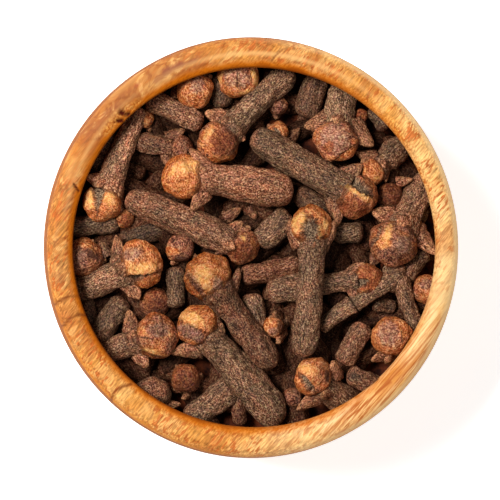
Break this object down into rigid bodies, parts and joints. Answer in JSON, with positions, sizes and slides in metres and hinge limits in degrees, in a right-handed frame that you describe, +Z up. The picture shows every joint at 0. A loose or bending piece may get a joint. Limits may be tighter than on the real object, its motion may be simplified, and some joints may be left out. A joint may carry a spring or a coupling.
{
  "type": "bowl of whole cloves",
  "caption": "Small turned wooden pinch bowl with a rounded, slightly incurved lip, heaped level with whole dried cloves.",
  "frame": {"origin": "middle of the foot, on the surface that the bowl stands on", "axes": "+Z up out of the bowl, +Y towards the back of the bowl as seen from above with +X to the right"},
  "size_m": [0.0496, 0.0504, 0.0278],
  "materials": {
    "bowl": "satin",
    "cloves": "matte"
  },
  "bodies": {
    "root": {"bowl": "bowl", "cloves": "cloves"}
  },
  "joints": []
}
